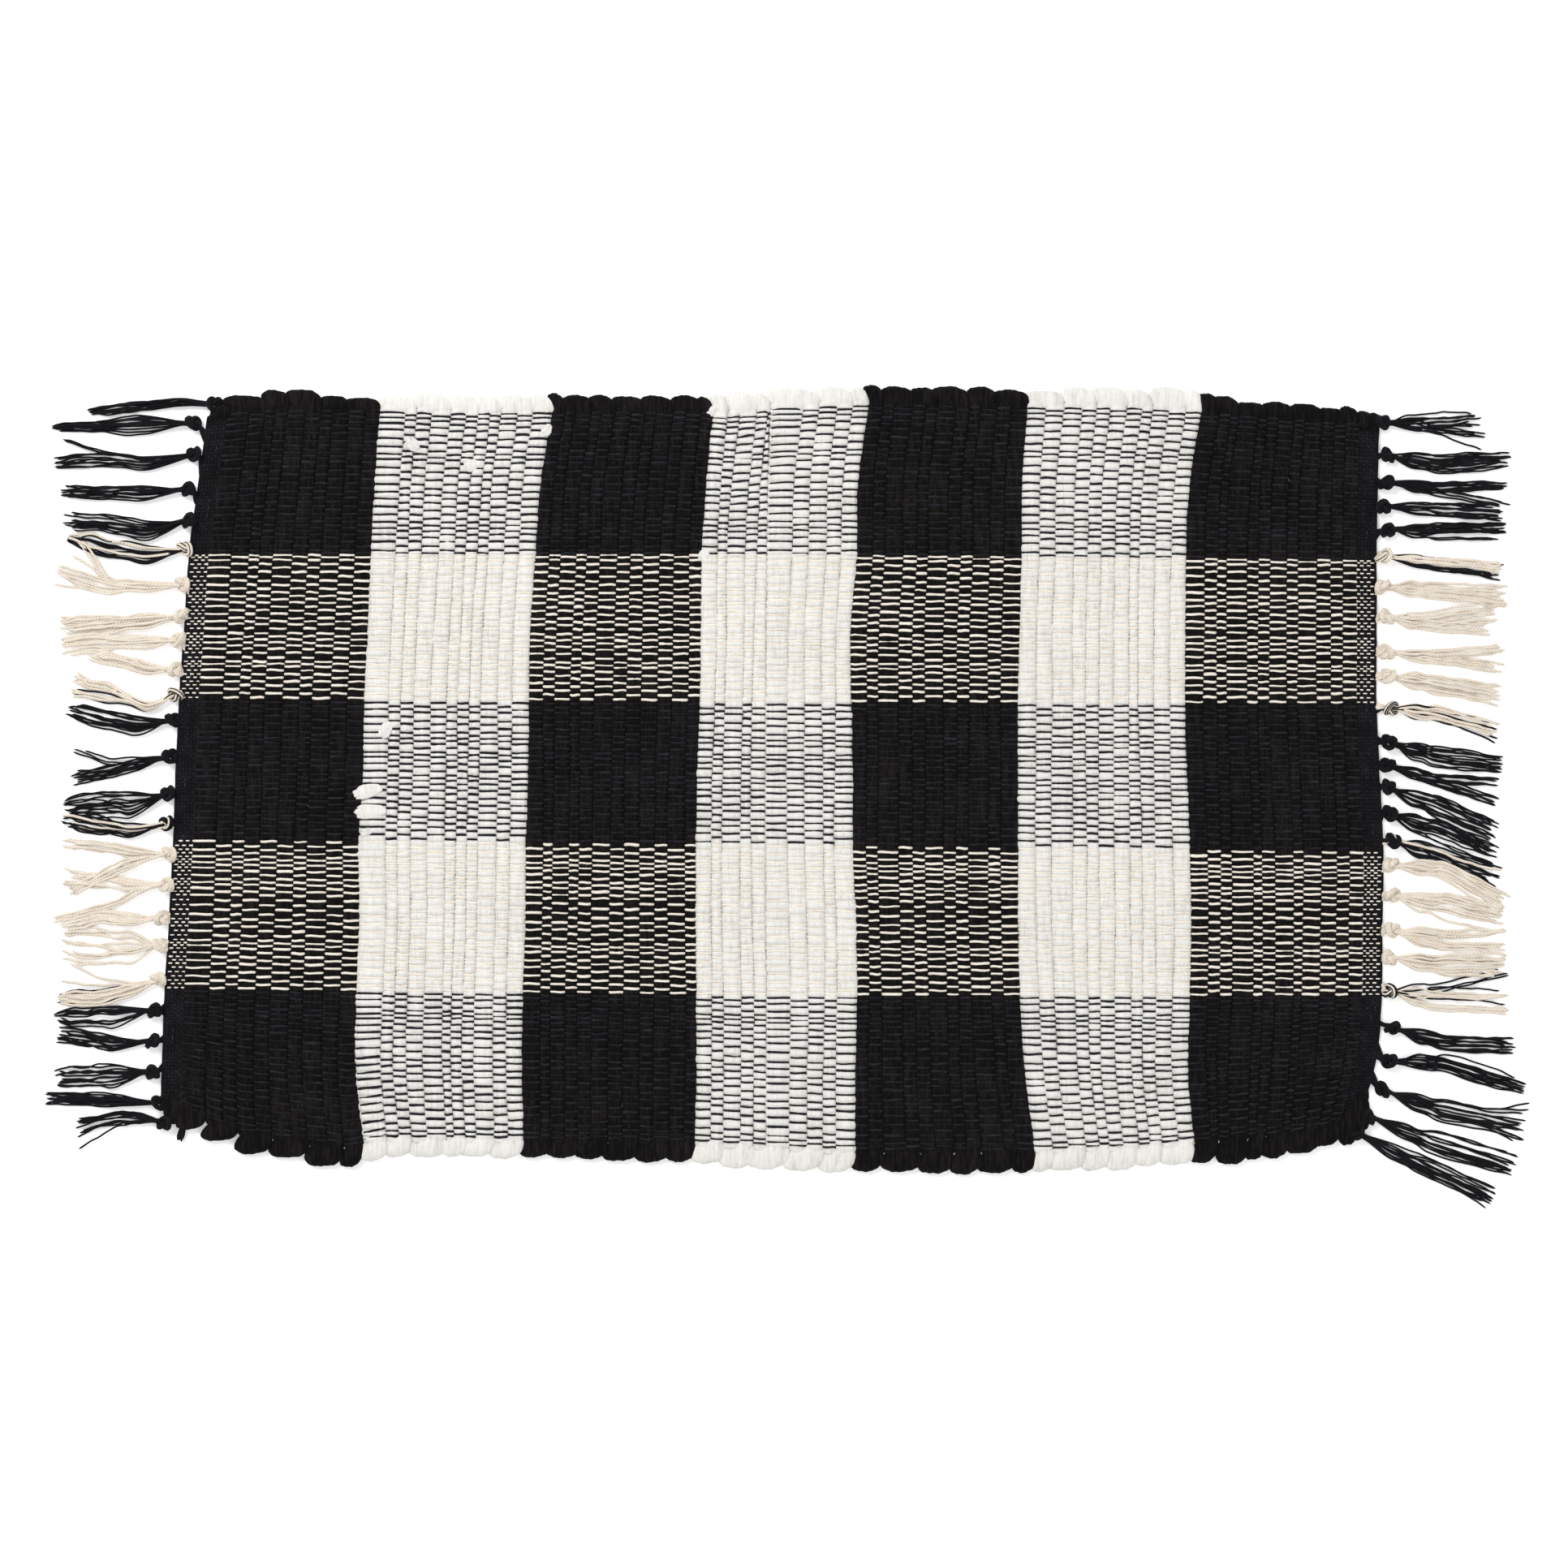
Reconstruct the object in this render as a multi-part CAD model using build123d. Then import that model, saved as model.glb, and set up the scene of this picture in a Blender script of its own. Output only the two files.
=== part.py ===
from build123d import *
import os
from math import cos, sin, radians

# Hand-woven rag bath mat with knotted fringes at both ends, lying flat.
# Millimetres.  X runs along the warp (the long way), Y along the rag weft,
# Z up through the thickness.  The origin is at the middle of the underside.

# ---- driving dimensions --------------------------------------------------
LENGTH_OVER_FRINGE = 996.0      # tip to tip, along X
WIDTH_OVER_LOOPS = 524.0        # over the turning loops of both selvedges, along Y
THICKNESS = 8.0                 # whole weave, warp over rag over warp

BODY_LEFT = -404.0              # outer edge of the left heading, on the centre line
BODY_RIGHT = 394.0              # outer edge of the right heading
HEADING_WIDTH = 12.0            # fine-woven strip that locks the last rag pick
HEADING_THICK = 4.0

# rag weft: colour bands from left to right, with the picks in each (one pick =
# one pass of the rag strip), the x where each band starts on the centre line, and
# its lean: how far the top end of that line stands to the right of its middle,
# because hand-beaten picks fan out of square.  The middle white band is in two
# parts, left and right of the crease where the mat folds
WEFT_BANDS = [("weft_black_1", 10, -392.0, 15.0),
              ("weft_white_1", 11, -282.0, 9.0),
              ("weft_black_2", 12, -171.0, 8.0),
              ("weft_white_2_left", 5, -59.0, 5.0),
              ("weft_white_2_right", 5, -14.5, 0.0),
              ("weft_black_3", 11, 47.0, 3.0),
              ("weft_white_3", 11, 157.0, 1.0),
              ("weft_black_4", 12, 270.0, 2.0)]
WEFT_END, END_LEAN = 382.0, 0.0  # where the last band stops
CREASE_X = -14.5
PICK_GAP = 2.0                  # gap between neighbouring picks, where the warp crosses
PICK_THICK = 5.2

WARP_BANDS = 5                  # colour bands across the width
TASSELS_PER_BAND = 5
WARP_SPAN = 485.0               # width covered by warp yarns
WARP_CORD_WIDTH = 13.0          # the group of about eight ends that meets in one knot
WARP_THICK = 1.0

LOOP_THICK = THICKNESS          # turning loops puff up to the full thickness
FOLD_CLEARANCE = 0.3            # space between the two layers when folded flat
HINGE_GAP = 0.4                 # space between fringe and heading, and at the crease

KNOT_RADIUS = 5.5
KNOT_HEIGHT = 7.6
KNOT_OFFSET = 8.0               # knot centre to heading edge
STRAND_WIDTH = 2.2
STRANDS = 5
STRAND_FAN = 4.8                # degrees, outermost strand to tassel axis

# ---- derived positions -----------------------------------------------------
HALF_L = LENGTH_OVER_FRINGE / 2
HALF_W = WIDTH_OVER_LOOPS / 2
WEAVE_LEFT = BODY_LEFT + HEADING_WIDTH
WEAVE_RIGHT = BODY_RIGHT - HEADING_WIDTH
HALF_SPAN = WARP_SPAN / 2
GAPS = []                       # (x, lean) of every gap between picks, both ends included
FIRST = {}                      # number of the first pick of each band
for _i, (_name, _count, _start, _lean) in enumerate(WEFT_BANDS):
    _last = _i + 1 == len(WEFT_BANDS)
    _stop, _stop_lean = (WEFT_END, END_LEAN) if _last else WEFT_BANDS[_i + 1][2:]
    FIRST[_name] = len(GAPS)
    GAPS += [(_start + (_stop - _start) * _k / _count, _lean + (_stop_lean - _lean) * _k / _count)
             for _k in range(_count)]
GAPS.append((WEFT_END, END_LEAN))
PICKS = len(GAPS) - 1
CREASE_AFTER = FIRST["weft_white_2_right"]
MID_Z = THICKNESS / 2
PICK_Y = WARP_SPAN / 2 + 3.0    # where the picks end and the turning loops begin
TASSELS = WARP_BANDS * TASSELS_PER_BAND
TASSEL_PITCH = WARP_SPAN / TASSELS
TOP_LEVEL = THICKNESS - WARP_THICK


def gap_x(i, y):
    """x of the gap line before pick i, at height y across the mat."""
    x, lean = GAPS[i]
    return x + lean * y / HALF_SPAN


def edge_x(side, y):
    """x of the outer edge of the heading, at height y across the mat."""
    if side < 0:
        return BODY_LEFT + GAPS[0][1] * y / HALF_SPAN
    return BODY_RIGHT + GAPS[-1][1] * y / HALF_SPAN


def plan(points, z0, z1):
    """A straight-walled solid over a plan outline."""
    face = make_face(Polyline(*[(x, y, z0) for x, y in points], close=True))
    return extrude(face, amount=z1 - z0, dir=(0, 0, 1))


def slab(x0, x1, y0, y1, z0, z1):
    return Pos((x0 + x1) / 2, (y0 + y1) / 2, (z0 + z1) / 2) * Box(x1 - x0, y1 - y0, z1 - z0)


def one_pick(i):
    """One pass of the rag strip: a flattened round-edged bar across the mat."""
    g = PICK_GAP / 2
    corners = [(gap_x(i, PICK_Y) + g, PICK_Y), (gap_x(i + 1, PICK_Y) - g, PICK_Y),
               (gap_x(i + 1, -PICK_Y) - g, -PICK_Y), (gap_x(i, -PICK_Y) + g, -PICK_Y)]
    bar = plan(corners, MID_Z - PICK_THICK / 2, MID_Z + PICK_THICK / 2)
    return fillet([e for e in bar.edges() if e.length > PICK_Y], PICK_THICK * 0.38)


def turning_loop(i, side):
    """The rag strip turns from pick i to pick i + 1 outside the last warp yarn."""
    g = PICK_GAP / 2
    y0 = side * PICK_Y
    x0, x1 = gap_x(i, y0) + g, gap_x(i + 2, y0) - g
    depth = HALF_W - PICK_Y
    y_mid = side * (PICK_Y + depth / 2)
    loop = Pos((x0 + x1) / 2, y_mid, LOOP_THICK / 2) * Box(x1 - x0, depth, LOOP_THICK)
    corners = loop.edges().filter_by(Axis.Z).group_by(Axis.Y)[-1 if side > 0 else 0]
    return fillet(corners, min(depth, x1 - x0) * 0.45)


def weft_band(first, last):
    """A run of picks first..last joined by turning loops at alternate selvedges."""
    pieces = [one_pick(i) for i in range(first, last + 1)]
    for i in range(first, last):
        side = 1 if i % 2 == 0 else -1
        pieces.append(turning_loop(i, side))
    band = pieces[0].fuse(*pieces[1:])
    return band


def warp_cord(y, phase, x_from, x_to, crossings):
    """One cord of warp ends passing over and under the picks, as a square wave.
    crossings: the x of each gap centre between x_from and x_to, in order."""
    h = WARP_THICK / 2
    up = phase
    upper = [(x_from, THICKNESS if up else WARP_THICK)]
    lower = [(x_from, TOP_LEVEL if up else 0.0)]
    for xc in crossings:
        if up:
            upper += [(xc + h, THICKNESS), (xc + h, WARP_THICK)]
            lower += [(xc - h, TOP_LEVEL), (xc - h, 0.0)]
        else:
            upper += [(xc - h, WARP_THICK), (xc - h, THICKNESS)]
            lower += [(xc + h, 0.0), (xc + h, TOP_LEVEL)]
        up = not up
    upper.append((x_to, THICKNESS if up else WARP_THICK))
    lower.append((x_to, TOP_LEVEL if up else 0.0))
    outline = upper + lower[::-1]
    face = make_face(Polyline(*[(x, 0, z) for x, z in outline], close=True))
    solid = extrude(face, amount=WARP_CORD_WIDTH / 2, dir=(0, 1, 0), both=True)
    return Pos(0, y, 0) * solid, up


def tassel_y(t):
    return WARP_SPAN / 2 - (t + 0.5) * TASSEL_PITCH


def tassel(t, side):
    """Neck, overhand knot and free strands of one tassel.  side -1 left, +1 right."""
    y = tassel_y(t)
    edge = edge_x(side, y) + side * HINGE_GAP
    kx = edge + side * KNOT_OFFSET
    tip = side * HALF_L
    # the neck's inner end is cut along the leaning heading edge
    neck = plan([(edge_x(side, y + 3.5) + side * HINGE_GAP, y + 3.5),
                 (edge_x(side, y - 3.5) + side * HINGE_GAP, y - 3.5), (kx, y - 3.5), (kx, y + 3.5)], 1.0, 5.0)
    knot = Pos(kx, y, KNOT_HEIGHT / 2) * Cylinder(KNOT_RADIUS, KNOT_HEIGHT)
    knot = fillet(knot.edges().filter_by(GeomType.CIRCLE), 2.0)
    pieces = [neck, knot]
    for s in range(STRANDS):
        a = radians(STRAND_FAN * (s - (STRANDS - 1) / 2) / ((STRANDS - 1) / 2))
        # shorten the slanted strands so every tip ends on the same line at most
        run = (abs(tip - kx) - STRAND_WIDTH) / 1.0
        y_end = y + run * sin(a)
        x_end = kx + side * run * cos(a)
        if s == (STRANDS - 1) // 2:
            x_end = tip
        half = STRAND_WIDTH / 2
        outline = [(kx, y - half), (kx, y + half), (x_end, y_end + half), (x_end, y_end - half)]
        face = make_face(Polyline(*[(px, py, 0.0) for px, py in outline], close=True))
        pieces.append(extrude(face, amount=STRAND_WIDTH, dir=(0, 0, 1)))
    return pieces[0].fuse(*pieces[1:])


# ---- weft: seven bands, the middle one split where the mat folds -----------
parts = {}
for name, count, start, lean in WEFT_BANDS:
    parts[name] = weft_band(FIRST[name], FIRST[name] + count - 1)

# ---- headings: fine picks that lock the weave at each end ------------------
for name, side, gap in (("heading_left", -1, 0), ("heading_right", 1, PICKS)):
    outline = [(edge_x(side, PICK_Y) - side * 0.5, PICK_Y), (gap_x(gap, PICK_Y) + side * 1.0, PICK_Y),
               (gap_x(gap, -PICK_Y) + side * 1.0, -PICK_Y), (edge_x(side, -PICK_Y) - side * 0.5, -PICK_Y)]
    strip = plan(outline, MID_Z - HEADING_THICK / 2, MID_Z + HEADING_THICK / 2)
    parts[name] = fillet([e for e in strip.edges() if e.length > PICK_Y], 1.2)

# ---- warp: cords over and under every pick, split at the crease ------------
band_names = ["black_1", "natural_1", "black_2", "natural_2", "black_3"]
for b, band in enumerate(band_names):
    left, right = [], []
    for k in range(TASSELS_PER_BAND):
        t = b * TASSELS_PER_BAND + k
        y = tassel_y(t)
        phase = t % 2 == 0
        left_gaps = [gap_x(i, y) for i in range(CREASE_AFTER)]
        right_gaps = [gap_x(i, y) for i in range(CREASE_AFTER + 1, PICKS + 1)]
        solid, up = warp_cord(y, phase, edge_x(-1, y) + 0.5, CREASE_X - HINGE_GAP, left_gaps)
        left.append(solid)
        solid, up = warp_cord(y, not up, CREASE_X + HINGE_GAP, edge_x(1, y) - 0.5, right_gaps)
        right.append(solid)
    parts["warp_" + band + "_left"] = Compound(children=left)
    parts["warp_" + band + "_right"] = Compound(children=right)

# ---- fringes: five knotted tassels for each warp band at each end ----------
for b, band in enumerate(band_names):
    for side, label in ((-1, "left"), (1, "right")):
        group = [tassel(b * TASSELS_PER_BAND + k, side) for k in range(TASSELS_PER_BAND)]
        parts["tassels_" + label + "_" + band] = Compound(children=group)

os.makedirs("parts", exist_ok=True)
for name, shape in parts.items():
    export_step(shape, "parts/" + name + ".step")

print("picks", PICKS, "crease after", CREASE_AFTER)
print("fold axis z", THICKNESS + FOLD_CLEARANCE / 2)
print("fringe axes through x", BODY_LEFT - HINGE_GAP / 2, BODY_RIGHT + HINGE_GAP / 2,
      "leaning", GAPS[0][1] / HALF_SPAN, GAPS[-1][1] / HALF_SPAN)
# the middle cord passes under a pick next to the crease: that flat run rests on the floor
up = (TASSELS // 2) % 2 == 0
for i in range(CREASE_AFTER):
    up = not up
    if not up and i >= CREASE_AFTER - 3:
        print("middle cord flat under pick", i, "x", (gap_x(i, 0) + gap_x(i + 1, 0)) / 2, "y", tassel_y(TASSELS // 2))
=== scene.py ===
import math

import bpy
import numpy as np
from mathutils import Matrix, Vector


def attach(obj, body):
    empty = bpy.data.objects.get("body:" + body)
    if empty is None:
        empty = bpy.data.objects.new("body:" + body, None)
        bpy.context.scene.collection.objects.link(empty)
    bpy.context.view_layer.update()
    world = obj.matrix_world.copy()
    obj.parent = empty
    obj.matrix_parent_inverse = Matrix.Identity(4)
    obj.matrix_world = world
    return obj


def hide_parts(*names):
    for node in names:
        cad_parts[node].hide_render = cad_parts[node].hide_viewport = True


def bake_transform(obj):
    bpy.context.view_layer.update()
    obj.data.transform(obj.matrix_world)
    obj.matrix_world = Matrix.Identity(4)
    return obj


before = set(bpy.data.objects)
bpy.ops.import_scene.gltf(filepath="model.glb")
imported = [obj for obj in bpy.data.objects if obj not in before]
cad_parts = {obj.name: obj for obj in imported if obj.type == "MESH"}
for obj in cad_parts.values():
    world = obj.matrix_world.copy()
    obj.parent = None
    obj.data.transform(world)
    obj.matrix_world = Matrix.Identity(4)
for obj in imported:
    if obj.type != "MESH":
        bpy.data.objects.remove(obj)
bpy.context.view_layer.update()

# Everything is in millimetres here and turned into metres when a mesh is made.
# x runs along the cords, y along the rags, z up; the origin is the middle of the underside.
BAND_X = [[-373.8, -272.2, -158.1, -50.5, 53.8, 159.2, 275.4, 380.3], [-380.3, -275.4, -165.7, -55.4, 46.8, 155.4, 267.3, 379.2], [-386.2, -278.1, -168.4, -58.6, 46.2, 154.9, 265.1, 378.6], [-389.5, -280.8, -171.6, -58.6, 42.4, 153.2, 264.6, 378.6], [-392.7, -283.5, -173.2, -59.7, 42.4, 153.2, 264.6, 378.6], [-394.9, -284.1, -173.2, -61.4, 43.0, 152.7, 265.7, 380.8], [-396.5, -286.2, -173.8, -61.9, 43.0, 152.2, 267.3, 383.0], [-399.2, -285.7, -174.9, -61.9, 44.6, 152.2, 267.8, 382.4], [-402.4, -287.3, -176.5, -60.8, 45.1, 154.3, 267.3, 381.9], [-404.1, -288.4, -177.0, -60.8, 44.1, 158.1, 265.7, 378.6], [-405.1, -283.0, -176.5, -61.4, 44.1, 164.6, 270.0, 367.8]]
PICK_SHARE = [[170, 117, 81, 110, 122, 122, 93, 133, 117, 115], [215, 100, 112, 143, 145, 87, 96, 92, 150, 117, 143], [125, 83, 127, 85, 108, 144, 111, 117, 125, 115, 130, 90], [99, 69, 115, 72, 69, 158, 108, 112, 85, 112], [115, 98, 167, 113, 102, 155, 103, 102, 158, 107, 140], [147, 128, 160, 110, 100, 120, 125, 85, 115, 135, 130], [125, 84, 70, 148, 65, 82, 123, 67, 128, 102, 85, 95]]
TOP_LINE = [(-385.7, 243.2), (-346.8, 246.5), (-292.7, 246.5), (-222.4, 244.3), (-146.8, 245.4), (-60.3, 245.4), (-38.6, 242.2), (-6.2, 247.6), (55.9, 250.3), (150.5, 248.6), (231.6, 248.1), (312.7, 242.2), (388.4, 236.8)]
BOTTOM_LINE = [(-408.9, -216.2), (-363.0, -232.4), (-292.7, -242.7), (-265.7, -236.8), (-179.2, -237.8), (-65.7, -239.5), (42.4, -245.4), (166.8, -245.4), (231.6, -242.7), (339.7, -232.4), (377.6, -223.8)]
TOP_OUTLINE = [(-385.7, 250.8), (-363.0, 255.1), (-332.2, 259.5), (-319.7, 259.5), (-292.7, 255.1), (-222.4, 256.8), (-146.8, 256.2), (-60.3, 256.2), (-17.0, 257.8), (15.4, 261.6), (96.5, 262.2), (177.6, 260.5), (258.6, 260.5), (312.7, 251.4), (388.4, 247.0)]
BOTTOM_OUTLINE = [(-408.9, -228.6), (-363.0, -245.4), (-292.7, -258.4), (-265.7, -250.3), (-179.2, -250.3), (-65.7, -254.1), (42.4, -261.1), (166.8, -261.1), (231.6, -258.4), (339.7, -250.3), (377.6, -236.8)]
ROW_Y = [[150.8, 150.8, 147.0], [54.1, 51.9, 50.8], [-38.4, -42.2, -46.5], [-139.5, -143.8, -143.8]]   # at X -400, 0 and 390
LEFT_TASSELS = [
    ((-382.2,250.8),[(1,[(-404.2,252.4,3.2),(-437.6,249.7,3.8),(-467.3,246.5,2.7)])]),
    ((-396.5,238.4),[(1,[(-426.2,237.3,5.4),(-459.4,236.2,3.8),(-491.4,235.7,2.7)])]),
    ((-395.9,217.5),[(0.8,[(-426.2,211.9,4.9),(-459.4,214.2,4.9),(-489.7,211.9,3.8)]),(0.1,[(-426.2,214.1,1.6),(-459.7,219.5,1.6),(-489.2,228.6,1.1)]),(0.1,[(-426.2,213.0,1.6),(-459.7,218.4,1.6),(-481.4,227.6,1.1)])]),
    ((-399.8,194.4),[(1,[(-426.2,191.0,4.9),(-457.6,191.9,4.9),(-485.7,192.2,4.9)])]),
    ((-399.7,173.5),[(1,[(-426.2,166.8,5.9),(-459.4,171.4,5.9),(-483.7,172.4,6.5)])]),
    ((-402.0,154.6),[(1,[(-426.2,150.3,6.5),(-453.9,154.6,7.6),(-480.3,162.4,3.2)])]),
    ((-403.7,130.9),[(0.6,[(-426.2,129.2,4.3),(-453.9,129.7,4.9),(-487.8,140.0,4.3)]),(0.2,[(-426.2,130.3,3.2),(-453.9,134.1,3.2),(-474.3,161.6,2.7)]),(0.1,[(-426.2,129.7,3.2),(-453.9,133.0,2.7),(-478.6,150.3,1.6)]),(0.1,[(-426.2,128.1,3.2),(-453.9,124.9,2.2),(-491.4,131.5,1.6)])]),
    ((-404.2,109.9),[(1,[(-426.2,107.2,4.9),(-459.4,103.8,7.6),(-485.7,101.6,8.1)])]),
    ((-406.4,94.1),[(1,[(-426.2,93.0,4.9),(-459.4,93.0,6.5),(-484.6,90.3,7.6)])]),
    ((-408.1,74.1),[(1,[(-426.2,74.1,4.3),(-448.4,80.2,4.3),(-465.7,84.3,4.3)])]),
    ((-408.6,57.6),[(1,[(-426.2,49.8,3.8),(-453.9,59.8,7.6),(-477.6,65.4,8.6)])]),
    ((-409.7,40.5),[(1,[(-431.8,36.8,5.9),(-459.4,41.1,6.5),(-481.4,47.6,5.4)])]),
    ((-411.9,16.2),[(0.75,[(-431.8,11.4,4.3),(-453.9,5.7,4.9),(-478.1,1.3,4.9)]),(0.25,[(-431.8,13.0,3.2),(-453.9,13.0,2.7),(-476.5,21.1,2.7)])]),
    ((-413.2,-8.6),[(1,[(-437.4,-16.2,8.1),(-459.4,-16.2,7.6),(-483.5,-18.4,5.4)])]),
    ((-414.2,-28.5),[(1,[(-437.4,-32.9,4.9),(-459.4,-29.6,6.5),(-484.1,-25.2,5.4)])]),
    ((-412.5,-48.9),[(0.55,[(-437.6,-47.6,3.8),(-459.4,-43.8,4.3),(-483.7,-41.6,4.3)]),(0.45,[(-437.6,-55.1,3.8),(-459.4,-64.9,3.8),(-479.2,-74.6,3.8)])]),
    ((-414.3,-69.2),[(0.65,[(-437.6,-69.7,4.3),(-459.4,-66.5,4.9),(-483.5,-63.8,5.4)]),(0.35,[(-435.9,-75.1,2.7),(-448.4,-81.6,3.2),(-472.7,-88.1,2.7),(-490.8,-92.8,2.7)])]),
    ((-417.2,-91.4),[(1,[(-436.5,-92.8,4.9),(-460.8,-90.3,5.4),(-484.8,-96.2,4.9)])]),
    ((-418.4,-109.6),[(1,[(-436.5,-110.8,9.7),(-460.8,-110.8,11.9),(-484.6,-109.7,10.8)])]),
    ((-419.7,-132.4),[(0.8,[(-436.5,-138.4,4.3),(-460.8,-144.6,5.4),(-487.3,-145.2,4.3)]),(0.1,[(-436.5,-135.1,1.6),(-459.2,-131.9,1.6),(-478.6,-122.7,1.1)]),(0.1,[(-436.5,-136.2,1.6),(-459.2,-136.2,1.6),(-485.4,-133.0,1.1)])]),
    ((-422.6,-153.0),[(1,[(-448.6,-156.8,7.0),(-468.4,-157.3,5.9),(-489.6,-157.8,4.3)])]),
    ((-423.8,-173.5),[(1,[(-448.6,-176.0,4.9),(-468.4,-172.4,5.4),(-487.3,-169.7,5.4)])]),
    ((-423.8,-194.1),[(1,[(-448.6,-196.5,7.0),(-468.4,-197.8,6.5),(-489.5,-198.4,5.9)])]),
    ((-419.0,-214.6),[(1,[(-448.6,-213.4,4.3),(-472.2,-212.4,4.9),(-495.9,-211.6,4.9)])]),
    ((-415.9,-227.9),[(0.9,[(-433.2,-224.9,4.3),(-448.6,-224.3,5.4),(-475.4,-230.3,7.0)]),(0.1,[(-433.2,-226.5,1.6),(-448.6,-230.8,1.6),(-477.0,-247.6,1.1)])]),
]
RIGHT_TASSELS = [
    ((395.9,238.9),[(0.65,[(411.6,238.4,4.9),(429.7,239.5,7.0),(461.9,241.1,7.0)]),(0.25,[(411.6,237.3,3.8),(429.7,234.6,3.2),(465.1,229.7,3.2)]),(0.1,[(411.6,236.8,2.2),(431.6,231.9,1.6),(463.5,220.3,1.1)])]),
    ((399.2,216.8),[(1,[(415.4,213.5,4.9),(434.9,211.0,5.9),(481.9,214.6,4.9)])]),
    ((398.1,198.5),[(0.7,[(415.4,196.8,3.8),(434.9,195.1,4.3),(479.2,197.0,4.3)]),(0.3,[(415.4,195.7,3.2),(434.9,192.4,3.2),(481.4,183.8,2.7)])]),
    ((396.5,182.7),[(1,[(415.4,181.6,4.3),(434.9,180.5,4.9),(476.3,178.4,6.5)])]),
    ((399.2,167.0),[(1,[(415.4,167.0,4.9),(434.9,167.0,5.9),(478.3,167.6,6.5)])]),
    ((396.5,149.9),[(1,[(415.4,146.5,4.3),(434.9,144.3,4.9),(476.3,140.1,7.0)])]),
    ((395.9,129.2),[(1,[(412.7,128.1,4.9),(429.7,126.6,5.4),(479.4,122.5,8.6)])]),
    ((398.6,109.2),[(0.6,[(413.8,107.0,5.4),(429.7,107.0,5.9),(473.2,113.2,6.5)]),(0.4,[(413.8,106.5,4.3),(429.7,104.3,4.9),(468.9,101.8,4.9)])]),
    ((398.3,85.7),[(0.5,[(415.4,84.3,3.8),(432.5,84.3,3.8),(477.6,88.1,3.8)]),(0.5,[(415.4,83.8,3.8),(432.5,81.1,3.8),(477.6,74.6,3.8)])]),
    ((399.4,69.7),[(1,[(415.4,67.0,5.4),(432.5,64.3,6.5),(474.3,57.6,7.6)])]),
    ((401.6,48.2),[(1,[(417.0,46.5,4.9),(432.5,44.3,5.9),(475.4,32.2,8.6)])]),
    ((399.9,25.6),[(1,[(415.4,20.5,5.4),(432.5,16.8,7.0),(476.5,11.4,6.5)])]),
    ((398.9,10.3),[(0.5,[(415.4,5.4,4.3),(432.5,1.6,3.8),(473.2,-1.1,3.8)]),(0.5,[(415.4,4.9,4.3),(432.5,-1.6,3.8),(473.2,-15.1,4.3)])]),
    ((399.4,-4.2),[(1,[(415.4,-10.8,5.9),(432.5,-16.2,7.6),(473.2,-34.1,6.5)])]),
    ((400.5,-21.8),[(1,[(415.4,-27.6,5.4),(432.5,-32.9,6.5),(473.2,-50.5,5.4)])]),
    ((402.7,-40.0),[(1,[(417.0,-44.3,4.9),(432.5,-48.3,5.9),(474.3,-63.8,8.6)])]),
    ((401.6,-56.1),[(1,[(419.2,-57.8,4.9),(438.1,-60.5,5.4),(478.6,-83.0,7.6)])]),
    ((402.4,-76.2),[(1,[(419.7,-80.0,6.5),(438.6,-83.0,9.2),(477.4,-91.9,8.6)])]),
    ((402.4,-99.4),[(1,[(419.7,-103.2,5.9),(438.6,-106.8,7.6),(478.6,-106.8,10.8)])]),
    ((400.3,-117.8),[(1,[(418.6,-121.1,5.4),(438.6,-123.1,6.5),(478.1,-123.1,7.6)])]),
    ((400.3,-140.0),[(0.75,[(415.4,-143.8,6.5),(431.5,-146.5,8.1),(480.3,-148.6,8.6)]),(0.25,[(415.4,-140.5,4.3),(431.5,-138.9,3.2),(480.3,-127.6,3.2)])]),
    ((402.4,-164.6),[(1,[(419.7,-170.8,5.4),(438.6,-174.9,6.5),(484.6,-176.4,7.6)])]),
    ((400.3,-186.8),[(1,[(418.6,-187.6,5.4),(438.6,-189.7,6.5),(490.5,-205.9,6.5)])]),
    ((395.9,-205.9),[(1,[(416.5,-213.5,5.9),(438.6,-220.9,8.6),(492.2,-231.4,15.1)])]),
    ((386.8,-223.8),[(1,[(408.4,-233.0,5.4),(431.5,-241.6,7.6),(484.6,-257.8,7.6)])]),
    ((378.1,-234.1),[(1,[(400.3,-246.5,4.9),(424.1,-257.8,6.5),(470.0,-278.7,7.6)])]),
]
KNOT = [(-1.95,0.18,-0.04),(-1.25,0.06,0.16),(-0.69,-0.19,0.58),(-0.28,-0.66,0.96),(0.21,-1.21,0.96),(0.75,-1.65,0.72),(1.29,-1.87,0.25),(1.75,-1.82,-0.33),(2.1,-1.57,-0.94),(2.27,-1.09,-1.48),(2.3,-0.44,-1.84),(2.17,0.28,-1.97),(1.87,0.95,-1.88),(1.45,1.49,-1.6),(0.96,1.82,-1.14),(0.47,1.9,-0.58),(0.0,1.9,0.0),(-0.47,1.9,0.58),(-0.96,1.82,1.14),(-1.45,1.49,1.6),(-1.87,0.95,1.88),(-2.17,0.28,1.97),(-2.3,-0.44,1.84),(-2.27,-1.09,1.48),(-2.1,-1.57,0.94),(-1.75,-1.82,0.33),(-1.29,-1.87,-0.25),(-0.75,-1.65,-0.72),(-0.21,-1.21,-0.96),(0.28,-0.66,-0.96),(0.69,-0.19,-0.58),(1.25,0.06,-0.16),(1.95,0.18,0.04)]
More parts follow.
